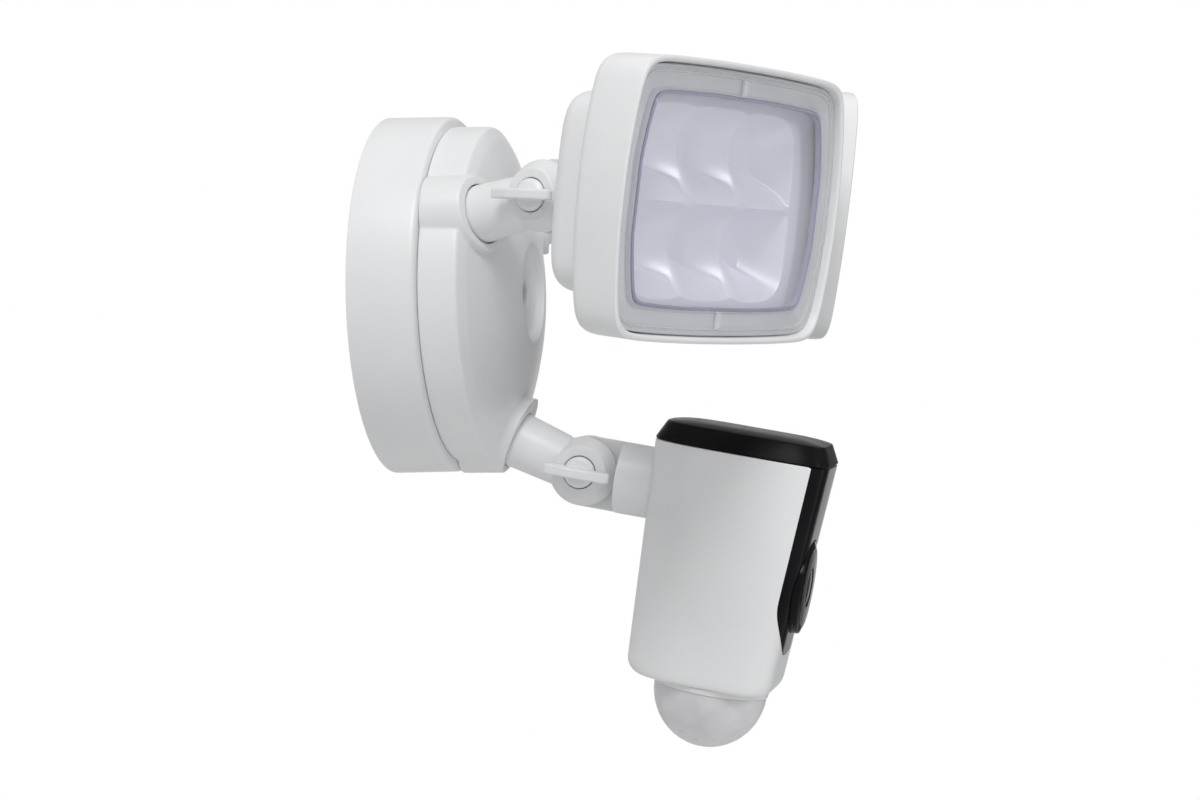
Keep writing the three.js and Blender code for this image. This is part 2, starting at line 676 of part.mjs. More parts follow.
// The front panel's outline, extruded forward: straight sides and a round lower end.
function panelCutter(growth) {
  const half = PANEL_HALF_WIDTH + growth;
  const shape = new THREE.Shape();
  shape.moveTo(half, 40);
  shape.lineTo(half, PANEL_CENTRE);
  shape.absarc(0, PANEL_CENTRE, half, 0, -Math.PI, true);
  shape.lineTo(-half, 40);
  const prism = new THREE.ExtrudeGeometry(shape, {
    depth: 40, bevelEnabled: false, curveSegments: 12,
  });
  return solid(prism.rotateX(Math.PI / 2).translate(0, -60, 0));
}

function bodyShell() {
  return bodyBlock([
    [BODY_BOTTOM, 5.5], [BODY_BOTTOM + 0.7, 3], [BODY_BOTTOM + 2.4, 1.1],
    [BODY_BOTTOM + 5.5, 0], [BODY_TOP, 0],
  ]);
}

function bodyCavity() {
  return bodyBlock([[BODY_BOTTOM + WALL + 0.4, 6], [BODY_BOTTOM + 8, WALL], [40, WALL]]);
}

function cameraShell() {
  const neck = STEM_RADIUS + GAP;
  return cut(bodyShell(), [
    bodyCavity(),
    panelCutter(GAP),
    solid(bar([0, -BODY_REAR[0] + 6, 0], [0, -BODY_REAR[0] - 6, 0], neck, neck, 28)),
    solid(bar([0, -DOME_CENTRE, BODY_BOTTOM - 4], [0, -DOME_CENTRE, BODY_BOTTOM + 9], 17.2, 17.2, 28)),
  ]);
}

function windowHole(radius) {
  return solid(bar([0, -60, WINDOW_CENTRE], [0, -100, WINDOW_CENTRE], radius, radius, 28));
}

function frontPanel() {
  const skin = cut(bodyShell(), [bodyCavity()]);
  return skin.intersect(panelCutter(0)).subtract(windowHole(WINDOW_RADIUS + GAP));
}

// Cap with a chamfered edge and a slightly crowned top, hollow below.
function topCap() {
  const low = BODY_TOP + GAP;
  const outer = bodyBlock([
    [low, 0], [low + 0.7, 0.1], [low + CAP_HEIGHT - 0.7, 3.2], [low + CAP_HEIGHT, 3.9],
    [low + CAP_HEIGHT + 1.4, 7], [low + CAP_HEIGHT + 2, 12],
  ]);
  const inner = bodyBlock([[low - 2, 2.6], [low + 0.6, 2.6], [low + CAP_HEIGHT - WALL, 6]]);
  const ports = [38, 55].map((forward) => (
    solid(bar([0, -forward, 15], [0, -forward, 40], 0.8, 0.8, 12))
  ));
  return cut(outer, [inner, ...ports]);
}

function microphone() {
  return solid(bar([0, -55, BODY_TOP - 1], [0, -55, BODY_TOP + 3], 3, 3, 20));
}

// Round window: a glossy cover glass that stands proud of the panel.
function lensWindow() {
  const face = BODY_FRONT[0] + BODY_FRONT[1] * WINDOW_CENTRE;
  const profile = [
    [0, -face + 3.4], [WINDOW_RADIUS - 2, -face + 3.4], [WINDOW_RADIUS - 2, -face + 2.6],
    [WINDOW_RADIUS, -face + 2.6], [WINDOW_RADIUS, -face - 0.6],
    [WINDOW_RADIUS - 0.9, -face - 1.7], [WINDOW_RADIUS - 3, -face - 2.2], [0, -face - 2.5],
  ];
  return solid(turned(profile, 28).translate(0, 0, WINDOW_CENTRE));
}

function lensBarrel() {
  const profile = [
    [0, -60], [7, -60], [7, -72], [8.5, -72], [8.5, -80.4], [6.6, -80.4], [4.4, -77],
    [0, -76.4],
  ];
  return solid(turned(profile, 20).translate(0, 0, WINDOW_CENTRE));
}

function cameraBoard() {
  return solid(box([-17, -59.6, -46], [17, -58, 8]));
}

function sensorBoard() {
  const height = BODY_BOTTOM + 3;
  return solid(bar([0, -DOME_CENTRE, height], [0, -DOME_CENTRE, height + 1.6], 16.6, 16.6, 32));
}

function sensorCan() {
  const top = BODY_BOTTOM + 3 - GAP;
  const profile = [
    [0, top], [5.2, top], [5.2, top - 0.8], [4.4, top - 0.8], [4.4, top - 4.6], [0, top - 4.6],
  ];
  return solid(turned(profile, 24).rotateX(Math.PI / 2).translate(0, -DOME_CENTRE, 0));
}

// Things turned about the dome's upright axis, from [radius, height] corners.
function turnedUpright(corners, segments) {
  const geometry = turned(corners, segments).rotateX(Math.PI / 2);
  return solid(geometry.translate(0, -DOME_CENTRE, 0));
}

function sensorRing() {
  const top = BODY_BOTTOM - GAP;
  return turnedUpright([
    [17.4, top], [SENSOR_RADIUS + 0.6, top], [SENSOR_RADIUS + 0.4, top - 1.8],
    [SENSOR_RADIUS - 0.2, top - 2.2], [17.4, top - 2.2],
  ], 28);
}

function sensorDome() {
  const top = BODY_BOTTOM - GAP - 2.2 - GAP;
  const height = 21;
  const arc = (radius, depth) => Array.from({ length: 6 }, (_, i) => {
    const angle = (i / 5) * Math.PI / 2;
    return [radius * Math.cos(angle), top - depth * Math.sin(angle)];
  });
  const outer = arc(SENSOR_RADIUS, height);
  const inner = arc(SENSOR_RADIUS - 1.4, height - 1.4).reverse();
  return turnedUpright([...outer, ...inner], 28);
}

function cameraUnit() {
  const frame = armFrame(CAMERA_KNUCKLE, 0, CAMERA_PITCH, 0);
  frame.add(
    ...armPieces('camera', -ARM_BEND, -1),
    piece('camera_stem', stem(-1, BODY_REAR[0] + 2), whitePlastic),
    piece('camera_shell', cameraShell(), whitePlastic),
    piece('front_panel', frontPanel(), blackGloss),
    piece('top_cap', topCap(), blackGloss),
    piece('microphone', microphone(), steel),
    piece('lens_window', lensWindow(), blackGloss),
    piece('lens_barrel', lensBarrel(), darkPlastic),
    piece('camera_board', cameraBoard(), boardGreen),
    piece('sensor_board', sensorBoard(), boardGreen),
    piece('motion_sensor', sensorCan(), steel),
    piece('sensor_ring', sensorRing(), whitePlastic),
    piece('sensor_dome', sensorDome(), milkyPlastic),
  );
  return frame;
}

const floodlightCamera = new THREE.Group();
floodlightCamera.add(base(), lamp('left', -1), lamp('right', 1), cameraUnit());
floodlightCamera.updateMatrixWorld(true);

export default floodlightCamera;
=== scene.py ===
"""Looks for the floodlight security camera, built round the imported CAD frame.

Shapes are made in millimetres, in the frame of the piece they belong to, and then
placed in the object's frame in metres: base pieces stand on the wall plane, lamp and
camera pieces stand at their knuckle, looking along -Y.
"""
import json
import math

import bmesh
import bpy
from mathutils import Matrix, Vector


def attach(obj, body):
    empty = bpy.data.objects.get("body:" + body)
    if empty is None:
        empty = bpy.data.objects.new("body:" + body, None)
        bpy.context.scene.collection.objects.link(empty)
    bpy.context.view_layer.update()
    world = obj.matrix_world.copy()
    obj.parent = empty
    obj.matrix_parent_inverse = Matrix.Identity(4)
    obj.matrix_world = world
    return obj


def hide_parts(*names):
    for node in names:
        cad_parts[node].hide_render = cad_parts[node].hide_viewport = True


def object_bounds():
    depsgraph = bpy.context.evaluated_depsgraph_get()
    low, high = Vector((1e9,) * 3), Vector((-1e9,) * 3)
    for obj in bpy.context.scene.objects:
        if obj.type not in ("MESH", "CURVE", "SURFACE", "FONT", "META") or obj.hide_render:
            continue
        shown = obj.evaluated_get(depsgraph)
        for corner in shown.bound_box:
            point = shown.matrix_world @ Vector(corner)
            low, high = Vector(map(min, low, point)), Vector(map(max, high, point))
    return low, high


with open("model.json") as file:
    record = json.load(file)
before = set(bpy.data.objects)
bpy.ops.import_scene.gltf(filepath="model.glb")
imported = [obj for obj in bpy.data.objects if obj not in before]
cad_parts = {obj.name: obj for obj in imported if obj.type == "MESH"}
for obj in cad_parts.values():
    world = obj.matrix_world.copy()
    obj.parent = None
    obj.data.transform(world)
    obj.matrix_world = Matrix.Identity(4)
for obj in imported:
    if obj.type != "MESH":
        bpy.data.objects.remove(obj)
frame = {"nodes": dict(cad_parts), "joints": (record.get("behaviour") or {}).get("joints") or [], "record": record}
cad_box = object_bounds()

# Driving dimensions, the same as the CAD model's ------------------------------------

GAP = 0.3
WALL = 2.3
BOX_RADIUS = 65
BOX_DEPTH = 24.4
BOX_WEB = (3.2, 5.4)
COVER_RADIUS = 61
COVER_RIM_Y = 38.2
DOME_RADIUS = 127.8
DOME_APEX_Y = 53.2
CRATER_RADIUS = 17
CRATER_FLOOR_Y = 48.9
SOCKET_RADIUS = 13.5
SOCKET_FROM_CENTRE = 51.8
MOUTH_BORE = 10.65
SOCKET_DEPTH = 12.2
LOCK_RING_ROOM = 12

ARM_LENGTH = 27
ARM_ROOT_RADIUS = 10.2
ARM_TIP_RADIUS = 9.1
ARM_TAIL_RADIUS = 6.8
WIRE_HOLE_RADIUS = 3.4
LAMP_BEND = 14.5
CAMERA_BEND = -14.5
KNUCKLE_RADIUS = 12.5
KNUCKLE_SWEEP = 13.4
HALF_LAP = 0.5
KNUCKLE_FACE = 10.3
KNOB_RADIUS = 5.7
SHAFT_RADIUS = 2.5
WING_LENGTH = 24.6
WING_THICKNESS = 3.6
STEM_RADIUS = 13
STEM_STEP = 13.4

HEAD_NOD = 3.2
HEAD_PIVOT = 57
LAMP_BACK = 36
HOOD_BACK = 57
RIM_FRONT = 75.8
RIM_SLANT = 0.024
RIM_HALF = (70.6, 46.5)
RIM_BOW = (6, 1.4)
HOUSING_HALF = (53, 34)
HOUSING_BOW = (2, 1)
LENS_INSET = 2.6
LENS_FRONT = RIM_FRONT - LENS_INSET
REFLECTOR_FRONT = 67.2
REFLECTOR_LIFT = -0.6
CELL = (33.5, 32)
BOWL_DEPTH = 11
SOLE_SLOPE = 9.9
WEDGE_SLOPE = 30
SIDE_SLOPE = 44
PLATE_BORDER = (6, 4.4)
PLATE_INSET = 4.8

BODY_TOP = 17.2
BODY_BOTTOM = -67
BODY_HALF_WIDTH = 22.5
BODY_REAR = (25.6, -0.035)
BODY_FRONT = (87.6, 0.0846)
CAP_HEIGHT = 6.9
PANEL_HALF_WIDTH = 20.9
PANEL_CENTRE = -31
WINDOW_CENTRE = -27
WINDOW_RADIUS = 17
DOME_CENTRE = 58.4
SENSOR_RADIUS = 20.5
SENSOR_BORE = 17.2
DOME_HEIGHT = 21.3
DOME_WALL = 1.4

MM = 0.001
TO_METRES = Matrix.Scale(MM, 4)


# Mesh building ----------------------------------------------------------------------

def new_object(name, verts, faces):
    mesh = bpy.data.meshes.new(name)
    mesh.from_pydata([tuple(v) for v in verts], [], faces)
    tidy(mesh)
    obj = bpy.data.objects.new(name, mesh)
    bpy.context.scene.collection.objects.link(obj)
    return obj


def tidy(mesh):
    """Merges doubled points and turns every face outward."""
    work = bmesh.new()
    work.from_mesh(mesh)
    bmesh.ops.remove_doubles(work, verts=work.verts, dist=1e-4)
    bmesh.ops.recalc_face_normals(work, faces=work.faces)
    work.to_mesh(mesh)
    work.free()


def rounded(corners, steps=6):
    """A closed outline through (x, y, radius) corners, each rounded by its radius."""
    outline = []
    for i, (x, y, radius) in enumerate(corners):
        here = Vector((x, y))
        before = Vector(corners[i - 1][:2]) - here
        after = Vector(corners[(i + 1) % len(corners)][:2]) - here
        if not radius:
            outline.append(here)
            continue
        reach = radius / math.tan(before.angle(after) / 2)
        reach = min(reach, before.length / 2, after.length / 2)
        start = here + before.normalized() * reach
        end = here + after.normalized() * reach
        for k in range(steps + 1):
            t = k / steps
            outline.append(start * (1 - t) ** 2 + here * 2 * t * (1 - t) + end * t ** 2)
    return outline


def skin(rings, closed=False):
    """Points and faces through rings of equal length, with end caps unless closed."""
    count = len(rings[0])
    verts = [point for ring in rings for point in ring]
    faces = []
    for a in range(len(rings) if closed else len(rings) - 1):
        b = (a + 1) % len(rings)
        for i in range(count):
            j = (i + 1) % count
            faces.append((a * count + i, a * count + j, b * count + j, b * count + i))
    if not closed:
        faces.append(tuple(range(count)))
        faces.append(tuple(range(len(verts) - count, len(verts))))
    return verts, faces


def turned(name, outline, turns=144, centre=(0, 0, 0), upright=False):
    """A closed (radius, along) outline swept round the Y axis, or the Z axis if upright."""
    rings = []
    for i in range(turns):
        angle = 2 * math.pi * i / turns
        ring = []
        for radius, along in outline:
            across, up = radius * math.cos(angle), radius * math.sin(angle)
            point = (across, up, along) if upright else (across, along, up)
            ring.append(Vector(point) + Vector(centre))
        rings.append(ring)
    return new_object(name, *skin(rings, closed=True))


def circle(centre, along, radius, count=96):
    """Points round a circle whose axis runs along the given direction."""
    along = Vector(along).normalized()
    across = along.orthogonal().normalized()
    up = along.cross(across)
    return [
        Vector(centre) + radius * (math.cos(t) * across + math.sin(t) * up)
        for t in (2 * math.pi * i / count for i in range(count))
    ]


def bar(start, end, radius, count=96):
    start, end = Vector(start), Vector(end)
    rings = [circle(p, end - start, radius, count) for p in (start, end)]
    return new_object("tool", *skin(rings))


def block(low, high):
    spans = list(zip(low, high))
    verts = [(x, y, z) for x in spans[0] for y in spans[1] for z in spans[2]]
    faces = [(0, 1, 3, 2), (4, 6, 7, 5), (0, 4, 5, 1), (2, 3, 7, 6), (0, 2, 6, 4), (1, 5, 7, 3)]
    return new_object("tool", verts, faces)


def extruded(outline, depth, bevel=0.5):
    """An (x, y) outline raised along Z about z = 0, with softened edges."""
    centre = sum(outline, Vector((0, 0))) / len(outline)
    rings = []
    levels = (
        (-depth / 2, bevel), (-depth / 2 + bevel, 0), (depth / 2 - bevel, 0), (depth / 2, bevel),
    )
    for z, inset in levels:
        ring = [p + (centre - p).normalized() * inset for p in outline]
        rings.append([(p.x, p.y, z) for p in ring])
    return new_object("tool", *skin(rings))


def about_x(obj, side):
    """Turns an object made round the Y axis so that +Y points to the given X side."""
    obj.data.transform(Matrix.Rotation(-side * math.pi / 2, 4, "Z"))
    return obj


def carve(obj, joins=(), cuts=(), common=(), voxel=0, soften=0):
    """Joins and cuts tools into an object, then melts its edges together if asked."""
    for operation, tools in (("UNION", joins), ("INTERSECT", common), ("DIFFERENCE", cuts)):
        for tool in tools:
            boolean = obj.modifiers.new(operation, "BOOLEAN")
            boolean.operation = operation
            boolean.solver = "EXACT"
            boolean.object = tool
    if voxel:
        melt = obj.modifiers.new("melt", "REMESH")
        melt.mode = "VOXEL"
        melt.voxel_size = voxel
        smooth = obj.modifiers.new("soften", "SMOOTH")
        smooth.factor = 0.5
        smooth.iterations = soften
    bpy.context.view_layer.update()
    result = bpy.data.meshes.new_from_object(obj.evaluated_get(bpy.context.evaluated_depsgraph_get()))
    obj.modifiers.clear()
    obj.data = result
    for tool in (*joins, *cuts, *common):
        bpy.data.objects.remove(tool)
    return obj


def put(obj, name, place, body, material, nodes=(), sharp=38):
    """Places a finished piece in the object's frame, and says what it stands for."""
    obj.name = name
    obj.data.transform(TO_METRES @ place)
    obj.data.shade_smooth()
    obj.data.set_sharp_from_angle(angle=math.radians(sharp))
    obj.data.materials.clear()
    obj.data.materials.append(material["material"])
    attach(obj, body)
    if nodes:
        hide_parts(*nodes)
    return obj


# Materials --------------------------------------------------------------------------

def node_material(name, slot, **sockets):
    material = bpy.data.materials.new(name)
    material.use_nodes = True
    shader = material.node_tree.nodes["Principled BSDF"]
    for socket, value in sockets.items():
        shader.inputs[socket.replace("_", " ")].default_value = value
    return {"material": material, "slot": slot, "shader": shader, "tree": material.node_tree}


def noise(made, scale, detail=4):
    """Noise in the object's frame, so that its grain has the same size on every piece."""
    nodes = made["tree"].nodes
    place = nodes.new("ShaderNodeTexCoord")
    texture = nodes.new("ShaderNodeTexNoise")
    texture.inputs["Scale"].default_value = scale
    texture.inputs["Detail"].default_value = detail
    made["tree"].links.new(place.outputs["Object"], texture.inputs["Vector"])
    return texture.outputs["Fac"]


def vary_colour(made, scale, dark, light):
    ramp = made["tree"].nodes.new("ShaderNodeValToRGB")
    ramp.color_ramp.elements[0].color = (*dark, 1)
    ramp.color_ramp.elements[1].color = (*light, 1)
    ramp.color_ramp.elements[0].position = 0.3
    ramp.color_ramp.elements[1].position = 0.7
    made["tree"].links.new(noise(made, scale), ramp.inputs["Fac"])
    made["tree"].links.new(ramp.outputs["Color"], made["shader"].inputs["Base Color"])


def vary_roughness(made, scale, low, high):
    spread = made["tree"].nodes.new("ShaderNodeMapRange")
    spread.inputs["To Min"].default_value = low
    spread.inputs["To Max"].default_value = high
    made["tree"].links.new(noise(made, scale), spread.inputs["Value"])
    made["tree"].links.new(spread.outputs["Result"], made["shader"].inputs["Roughness"])


def grain(made, scale, strength, height):
    bump = made["tree"].nodes.new("ShaderNodeBump")
    bump.inputs["Strength"].default_value = strength
    bump.inputs["Distance"].default_value = height
    made["tree"].links.new(noise(made, scale, 2), bump.inputs["Height"])
    made["tree"].links.new(bump.outputs["Normal"], made["shader"].inputs["Normal"])


def white_plastic():
    made = node_material("white_plastic", "white_plastic", Coat_Weight=0.12, Coat_Roughness=0.25)
    vary_colour(made, 28, (0.80, 0.81, 0.82), (0.84, 0.85, 0.855))
    vary_roughness(made, 60, 0.36, 0.46)
    grain(made, 1600, 0.12, 0.00006)
    return made


def black_gloss():
    made = node_material("black_gloss", "black_gloss", Specular_IOR_Level=0.12)
    vary_colour(made, 40, (0.004, 0.004, 0.005), (0.007, 0.007, 0.009))
    vary_roughness(made, 90, 0.10, 0.17)
    return made


def black_satin():
    made = node_material("black_satin", "black_satin", Specular_IOR_Level=0.05)
    vary_colour(made, 50, (0.006, 0.006, 0.007), (0.011, 0.011, 0.012))
    vary_roughness(made, 120, 0.26, 0.36)
    grain(made, 2600, 0.2, 0.00005)
    return made


def clear_plastic(name, alpha, tint):
    made = node_material(name, "clear_plastic", Alpha=alpha, Coat_Weight=0.6, Coat_Roughness=0.02)
    vary_colour(made, 30, [0.94 * t for t in tint], tint)
    vary_roughness(made, 45, 0.03, 0.07)
    return made


def lamp_reflector():
    made = node_material("reflector", "reflector", Metallic=0.2)
    vary_colour(made, 22, (0.84, 0.84, 0.95), (0.88, 0.88, 0.97))
    vary_roughness(made, 70, 0.3, 0.4)
    return made


def milky_plastic():
    made = node_material("milky_plastic", "milky_plastic", Subsurface_Weight=0.3, Subsurface_Scale=0.003)
    made["shader"].inputs["Subsurface Radius"].default_value = (1, 1, 1)
    vary_colour(made, 75, (0.68, 0.68, 0.71), (0.84, 0.84, 0.86))
    vary_roughness(made, 50, 0.22, 0.34)
    grain(made, 500, 0.1, 0.0001)
    return made


def plain_material(name, slot, dark, light, rough, metallic=0, grain_scale=700):
    made = node_material(name, slot, Metallic=metallic)
    vary_colour(made, 90, dark, light)
    vary_roughness(made, 140, *rough)
    grain(made, grain_scale, 0.2, 0.0001)
    return made


white = white_plastic()
gloss = black_gloss()
satin = black_satin()
window = clear_plastic("lens_window_clear", 0.10, (0.96, 0.97, 1.0))
flange = clear_plastic("lens_flange_clear", 0.5, (0.88, 0.89, 0.92))
# Painted shade: the step wall's clear plastic is tinted dark blue-grey and made less clear, standing in for the
# dark line that refraction draws where the lens cover steps up.
edge = clear_plastic("lens_edge_painted_shade", 0.7, (0.42, 0.44, 0.58))
mirror = lamp_reflector()
milky = milky_plastic()
rubber = plain_material("rubber", "rubber", (0.012, 0.012, 0.012), (0.03, 0.03, 0.03), (0.7, 0.9))
silicone = plain_material("silicone", "rubber", (0.62, 0.62, 0.64), (0.7, 0.7, 0.72), (0.5, 0.65))
steel = plain_material("steel", "steel", (0.42, 0.43, 0.45), (0.6, 0.61, 0.62), (0.28, 0.42), 1)
aluminium = plain_material("aluminium", "aluminium", (0.6, 0.61, 0.62), (0.72, 0.73, 0.74), (0.35, 0.5), 1)
brass = plain_material("brass", "brass", (0.6, 0.43, 0.16), (0.74, 0.56, 0.24), (0.25, 0.4), 1)
dark_plastic = plain_material(
    "dark_plastic", "dark_plastic", (0.015, 0.015, 0.017), (0.03, 0.03, 0.033), (0.45, 0.6))
green_board = plain_material(
    "green_board", "green_board", (0.02, 0.12, 0.06), (0.03, 0.18, 0.09), (0.35, 0.5))
white_board = plain_material(
    "white_board", "white_board", (0.7, 0.7, 0.66), (0.8, 0.8, 0.76), (0.35, 0.5))
terminal = plain_material(
    "terminal_plastic", "terminal_plastic", (0.03, 0.22, 0.09), (0.05, 0.3, 0.13), (0.4, 0.55))


# Frames of the three arms -----------------------------------------------------------

def joint(name):
    return next(j for j in frame["joints"] if j["name"] == name)


def knuckle_frame(name, bend):
    """Millimetre frame at an arm's knuckle: X along the hinge, -Y along the stem."""
    across = -Vector(joint(f"{name}_tilt")["axis"]).normalized()
    along = Vector(joint(f"{name}_arm_swivel")["axis"]).normalized()
    if along.y > 0:
        along.negate()
    forward = Matrix.Rotation(math.radians(bend), 4, across) @ along
    up = across.cross(-forward)
    place = Matrix((across, -forward, up)).transposed().to_4x4()
    place.translation = Vector(joint(f"{name}_tilt")["pos_m"]) / MM
    return place


def head_frame():
    """The lamp head's nod, about a line across it, in its knuckle's frame."""
    pivot = Matrix.Translation((0, -HEAD_PIVOT, 0))
    return pivot @ Matrix.Rotation(math.radians(HEAD_NOD), 4, "X") @ pivot.inverted()


def arm_points(bend):
    """A function that gives the point at a distance from the socket's mouth."""
    along = Vector((0, -math.cos(math.radians(bend)), math.sin(math.radians(bend))))
    return lambda distance: along * (distance - ARM_LENGTH)


FRAMES = {
    "left": (knuckle_frame("left", LAMP_BEND), LAMP_BEND, -1),
    "right": (knuckle_frame("right", LAMP_BEND), LAMP_BEND, 1),
    "camera": (knuckle_frame("camera", CAMERA_BEND), CAMERA_BEND, -1),
}
HEAD_BODY = {"left": "left_lamp", "right": "right_lamp", "camera": "camera_unit"}


# Base -------------------------------------------------------------------------------

def dome_y(radius, depth=0):
    return depth - DOME_APEX_Y + radius * radius / (2 * DOME_RADIUS)


def back_box():
    inner = BOX_RADIUS - 2.6
    web_back, web_front = BOX_WEB
    outline = rounded([
        (BOX_RADIUS, 0, 0.4), (BOX_RADIUS - 0.35, -BOX_DEPTH, 2.2), (56.5, -BOX_DEPTH, 0.4),
        (56.5, -BOX_DEPTH + 2, 0.3), (inner, -BOX_DEPTH + 2, 0.3), (inner, -web_front, 0.5),
        (11, -web_front, 0.3), (11, -web_back, 0.3), (58, -web_back, 0.3), (58, -1.6, 0.3),
        (inner - 0.2, -1.6, 0.3), (inner - 0.2, 0, 0.3),
    ])
    cuts = [bar((0, -1, -26), (0, -8, -26), 6)]
    cuts += [bar((x, -1, 0), (x, -8, 0), 5) for x in (-41, 41)]
    obj = carve(turned("box", outline, 216), cuts=cuts)
    put(obj, "back_box_fine", Matrix(), "base", white, ["back_box"])


def front_cover():
    back = -BOX_DEPTH - 0.05
    inner = COVER_RADIUS - WALL
    dome = [(r, dome_y(r)) for r in range(56, 18, -4)]
    corners = [
        (COVER_RADIUS, back, 0), (COVER_RADIUS - 0.4, -COVER_RIM_Y, 1.6),
        *[(r, y, 0) for r, y in dome],
        (CRATER_RADIUS + 0.6, dome_y(CRATER_RADIUS + 0.6), 1.1),
        (CRATER_RADIUS - 1.6, -CRATER_FLOOR_Y, 1.2), (4.2, -CRATER_FLOOR_Y, 0.5), (4.2, -44, 0),
        (2.7, -44, 0), (2.7, back, 0), (7, back, 0), (7, -CRATER_FLOOR_Y + WALL, 0),
        (CRATER_RADIUS + 1, -CRATER_FLOOR_Y + WALL, 0), (inner, -COVER_RIM_Y + WALL, 0), (inner, back, 0),
    ]
    shell = turned("cover", rounded(corners), 216)
    posts = []
    bores = []
    for place, bend, _ in FRAMES.values():
        at = arm_points(bend)
        mouth, along = place @ at(0), place.to_3x3() @ (at(1) - at(0))
        direction = Vector((mouth.x, 0, mouth.z)).normalized() * SOCKET_FROM_CENTRE
        post = bar((direction.x, back, direction.z), (direction.x, -60, direction.z), SOCKET_RADIUS)
        inside = turned("tool", [Vector(p) for p in ((0, -20), (58.4, -20), (58.4, -34), (0, -34))], 96)
        posts.append(carve(post, cuts=[bar(mouth, mouth + along * 30, 40), inside]))
        bores.append(bar(mouth + along * 2, mouth - along * 20, MOUTH_BORE))
        bores.append(bar(mouth - along * SOCKET_DEPTH, mouth - along * 26, LOCK_RING_ROOM))
    obj = carve(shell, joins=posts, cuts=bores, voxel=0.45, soften=5)
    put(obj, "front_cover_fine", Matrix(), "base", white, ["front_cover"])


# Arms and knuckles ------------------------------------------------------------------

def arm(name):
    place, bend, side = FRAMES[name]
    at = arm_points(bend)
    root = ARM_LENGTH + SOCKET_DEPTH
    tube = turned("arm", [Vector(p) for p in (
        (0, root + 4), (ARM_TAIL_RADIUS, root + 4), (ARM_TAIL_RADIUS, root), (ARM_ROOT_RADIUS, root),
        (ARM_ROOT_RADIUS, ARM_LENGTH - 0.6), (ARM_TIP_RADIUS, 0), (0, 0),
    )])
    tube.data.transform(Matrix.Rotation(-math.radians(bend), 4, "X"))
    half = about_x(turned("tool", rounded([
        (0, 0.2, 0), (KNUCKLE_RADIUS - 0.5, 0.2, 0), (KNUCKLE_RADIUS - 0.5, 1.8, 0),
        (KNUCKLE_RADIUS, 1.8, 0.2), (KNUCKLE_RADIUS, 3.8, 1), (9.3, KNUCKLE_FACE, 0.8), (0, KNUCKLE_FACE, 0),
    ])), side)
    cuts = [
        bar((-side * 20, 0, 0), (side * HALF_LAP, 0, 0), KNUCKLE_SWEEP),
        bar((side * 4, 0, 0), (side * 20, 0, 0), KNOB_RADIUS + GAP),
        bar((0, 0, 0), (side * 5, 0, 0), SHAFT_RADIUS + GAP),
        bar(at(-20), at(8), WIRE_HOLE_RADIUS),
    ]
    obj = carve(tube, joins=[half], cuts=cuts, voxel=0.26, soften=5)
    body = f"{name}_arm_swivel_body"
    put(obj, f"{name}_arm_fine", place, body, white, [f"{name}_arm"])
    put(clutch_teeth(side), f"{name}_clutch_teeth", place, body, white)


def clutch_teeth(side, count=72):
    """The fine teeth that show round the knuckle's parting line."""
    rings = []
    for x in (HALF_LAP + 0.1, 1.7):
        ring = []
        for i in range(count * 2):
            angle = math.pi * i / count
            radius = KNUCKLE_RADIUS - 0.05 if i % 2 else KNUCKLE_RADIUS - 0.5
            ring.append((side * x, radius * math.cos(angle), radius * math.sin(angle)))
        rings.append(ring)
    for x in (1.7, HALF_LAP + 0.1):
        inner = KNUCKLE_RADIUS - 1.6
        angles = [math.pi * i / count for i in range(count * 2)]
        rings.append([(side * x, inner * math.cos(a), inner * math.sin(a)) for a in angles])
    return new_object("teeth", *skin(rings, closed=True))


def wing_knob(name):
    place, _, side = FRAMES[name]
    hub = about_x(turned("knob", rounded([
        (0, -9.2, 0), (SHAFT_RADIUS, -9.2, 0.4), (SHAFT_RADIUS, 4.4, 0), (KNOB_RADIUS, 4.4, 0.2),
        (KNOB_RADIUS, 10.9, 0.5), (4.4, 11.8, 0.8), (0, 12.2, 0),
    ]), 96), side)
    reach = WING_LENGTH / 2
    outline = rounded([
        (-4, 9, 0), (4, 9, 0), (4.8, 11.4, 1), (reach - 0.6, 13.4, 2.4), (reach, 17.4, 3),
        (4, 20.2, 8), (-4, 20.2, 8), (-reach, 17.4, 3), (-reach + 0.6, 13.4, 2.4), (-4.8, 11.4, 1),
    ], 8)
    blade = about_x(extruded(outline, WING_THICKNESS, 0.5), side)
    obj = carve(hub, joins=[blade], voxel=0.2, soften=4)
    put(obj, f"{name}_wing_knob_fine", place, f"{name}_knob", white, [f"{name}_wing_knob"])


def stem(name, length):
    place, _, side = FRAMES[name]
    half = about_x(turned("tool", rounded([
        (0, 0.2, 0), (KNUCKLE_RADIUS, 0.2, 0.3), (KNUCKLE_RADIUS, 9.4, 3), (9.4, 12.8, 2), (0, 12.9, 0),
    ])), -side)
    tube = bar((0, 0, 0), (0, -length, 0), STEM_RADIUS, 144)
    low, high = sorted((-side * HALF_LAP, side * 30))
    cuts = [
        block((low, -STEM_STEP, -30), (high, 30, 30)),
        bar((-side * 20, 0, 0), (-side * 5.6, 0, 0), 5.2, 6),
        bar((-side * 10, 0, 0), (side * 2, 0, 0), SHAFT_RADIUS + GAP),
        bar((0, -STEM_STEP - 2, 0), (0, -length - 2, 0), STEM_RADIUS - WALL),
    ]
    obj = carve(tube, joins=[half], cuts=cuts, voxel=0.3, soften=4)
    put(obj, f"{name}_stem_fine", place, HEAD_BODY[name], white, [f"{name}_stem"])


# Lamp heads -------------------------------------------------------------------------

